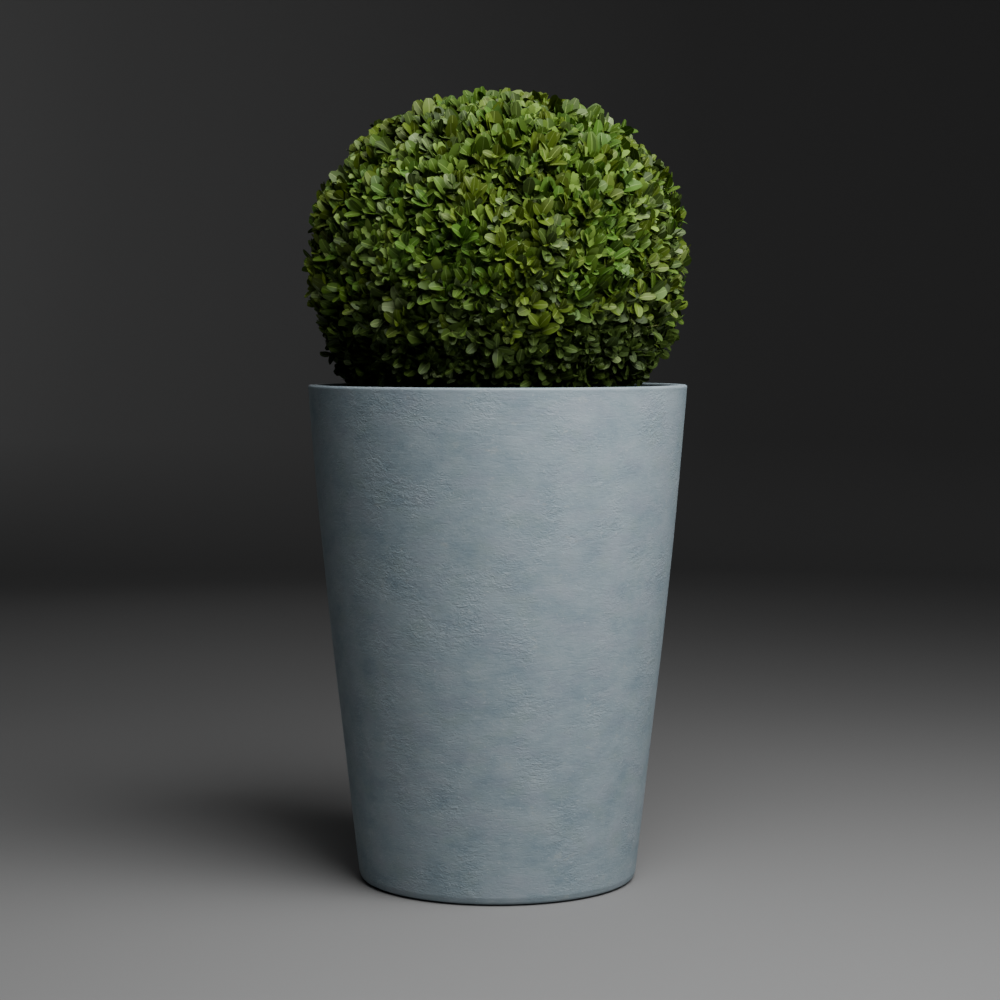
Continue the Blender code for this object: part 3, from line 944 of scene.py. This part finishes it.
def make_shoots(*groups):
    """All shoots as one joined piece."""
    radii = np.linspace(SHOOT_RADIUS, SHOOT_RADIUS * TWIG_TAPER, SHOOT_ROWS)
    shoots = joined([tubes(paths, radii, SHOOT_SIDES) for paths in groups])
    piece = mesh_piece("shoots", *shoots, [shoot_material()])
    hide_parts("foliage_ball")


def leaf_finishes():
    """The materials of each tint: its tones, then its midrib."""
    finishes = {}
    for name, (tones, rib) in TINTS.items():
        made = []
        for tone, (colour, roughness) in enumerate(zip(tones, TONE_ROUGHNESS)):
            made.append(leaf_material(f"{name}_leaf_{tone}", colour, roughness))
        made.append(leaf_material(f"{name}_midrib", rib, MIDRIB_ROUGHNESS))
        finishes[name] = made
    return finishes


def make_outer_leaves(outer, shoot_tints, finishes, random_state):
    """The outer leaves, dealt by shoot into pieces of one tint within the limit of faces."""
    tints = shoot_tints[outer["shoot"]]
    faces_each = 3 * 2 * (len(LEAF_STATIONS) - 1)  # three strips of two triangles between stations
    for name in TINTS:
        leaves = chosen(outer, tints == name)
        batches = math.ceil(len(leaves["root"]) * faces_each / PIECE_FACES)
        for batch in range(batches):
            some = chosen(leaves, leaves["shoot"] % batches == batch)
            piece_name = f"{name}_leaves_{batch + 1}"
            make_leaf_piece(piece_name, some, finishes[name], LEAF_STATIONS, True, random_state)


def make_ball(bark):
    """The whole ball: limbs, shoots, outer leaves dealt into tints, and the shaded leaves inside, lighter
    as painted light, darker at the foot as painted shade.
    """
    chance = random.Random(SEED)
    random_state = np.random.default_rng(SEED)
    limbs, *sprigs = grow_limbs(chance)
    make_limbs(limbs, bark)

    outward = spread(SHOOTS, chance, SHOOT_JITTER)
    shares = random_state.normal(1, LEAF_LENGTH_SPREAD, SHOOTS).clip(*LEAF_LENGTH_LIMITS)
    lengths = LEAF_LENGTH * shares * (1 + LEAF_TOP_GAIN * outward[:, 2])
    depth = CLIP_DEPTH[1] - (CLIP_DEPTH[1] - CLIP_DEPTH[0]) * random_state.random(SHOOTS) ** CLIP_EVENNESS
    paths, outer = grow_shoots(sprigs, outward, lengths, depth, random_state)

    inner_outward = spread(INNER_SHOOTS, chance, SHOOT_JITTER)
    inner_depth = random_state.uniform(*INNER_DEPTH, INNER_SHOOTS)
    inner_lengths = np.full(INNER_SHOOTS, LEAF_LENGTH)
    inner_paths, inner = grow_shoots(sprigs, inner_outward, inner_lengths, inner_depth, random_state)
    make_shoots(paths, inner_paths)

    finishes = leaf_finishes()
    make_outer_leaves(outer, tint_of_shoots(outward, random_state), finishes, random_state)
    # leaves inside take the light inner tint as painted light, and those at the foot the dark tint as
    # painted shade
    low = inner_outward[inner["shoot"], 2] < FOOT_BELOW
    for name, mask, tint in (("inner_leaves", ~low, "inner"), ("foot_inner_leaves", low, "dark")):
        make_leaf_piece(name, chosen(inner, mask), finishes[tint], INNER_STATIONS, False, random_state)


# ---------------------------------------------------------------- studio


def make_camera():
    data = bpy.data.cameras.new("camera")
    data.lens = LENS_MM
    data.sensor_width = SENSOR_MM
    camera = bpy.data.objects.new("camera", data)
    camera.location = CAMERA_PLACE
    camera.rotation_euler = (math.pi / 2 - CAMERA_PITCH, 0, 0)
    bpy.context.scene.collection.objects.link(camera)
    bpy.context.scene.camera = camera


def area_light(name, place, size, watts):
    """A square soft light that faces the plant."""
    data = bpy.data.lights.new(name, "AREA")
    data.size = size
    data.energy = watts
    light = bpy.data.objects.new(name, data)
    light.location = place
    light.visible_camera = False
    light.rotation_euler = (LIGHT_TARGET - light.location).to_track_quat("-Z", "Y").to_euler()
    bpy.context.scene.collection.objects.link(light)


def make_stage():
    """A round floor that curves up into a low wall on all sides, so that no horizon shows."""
    profile = [(STAGE_RADIUS * share, 0) for share in STAGE_RINGS]
    flat = STAGE_RADIUS - STAGE_CURVE
    turns = [math.pi / 2 * step / CURVE_STEPS for step in range(CURVE_STEPS + 1)]
    profile += [(flat + STAGE_CURVE * math.sin(a), STAGE_CURVE * (1 - math.cos(a))) for a in turns]
    profile.append((STAGE_RADIUS, STAGE_HEIGHT))
    turns = np.arange(STAGE_SIDES) * math.tau / STAGE_SIDES
    around = np.stack([np.cos(turns), np.sin(turns), np.zeros(STAGE_SIDES)], axis=-1)
    rings = [around * radius + np.array(UP) * height for radius, height in profile]
    points = np.concatenate([*rings, [[0, 0, 0]]])
    side = np.arange(STAGE_SIDES)
    middle = np.stack([side, (side + 1) % STAGE_SIDES, np.full(STAGE_SIDES, len(points) - 1)], axis=-1)
    faces = np.concatenate([ring_faces(len(profile), STAGE_SIDES), middle])
    data = bpy.data.meshes.new("floor")
    data.from_pydata(points, [], faces)
    data.materials.append(stage_material())
    data.shade_smooth()
    floor = bpy.data.objects.new("floor", data)
    bpy.context.scene.collection.objects.link(floor)


def make_studio():
    """The stage, a soft key from the upper right, a weak fill, a weak back light and an even world."""
    make_stage()
    level = math.cos(KEY_ELEVATION)
    aside = math.sin(KEY_AZIMUTH) * level
    front = -math.cos(KEY_AZIMUTH) * level
    toward = Vector((aside, front, math.sin(KEY_ELEVATION)))
    area_light("key", LIGHT_TARGET + toward * KEY_DISTANCE, KEY_SIZE, KEY_WATTS)
    area_light("fill", FILL_PLACE, FILL_SIZE, FILL_WATTS)
    area_light("back", BACK_PLACE, BACK_SIZE, BACK_WATTS)
    world = bpy.data.worlds.new("studio")
    world.use_nodes = True
    sky = world.node_tree.nodes["Background"]
    sky.inputs["Color"].default_value = (*WORLD_COLOUR, 1)
    sky.inputs["Strength"].default_value = WORLD_STRENGTH
    bpy.context.scene.world = world


make_camera()
make_studio()
make_planter()
make_compost()
bark = bark_material()
make_stem(bark)
make_ball(bark)
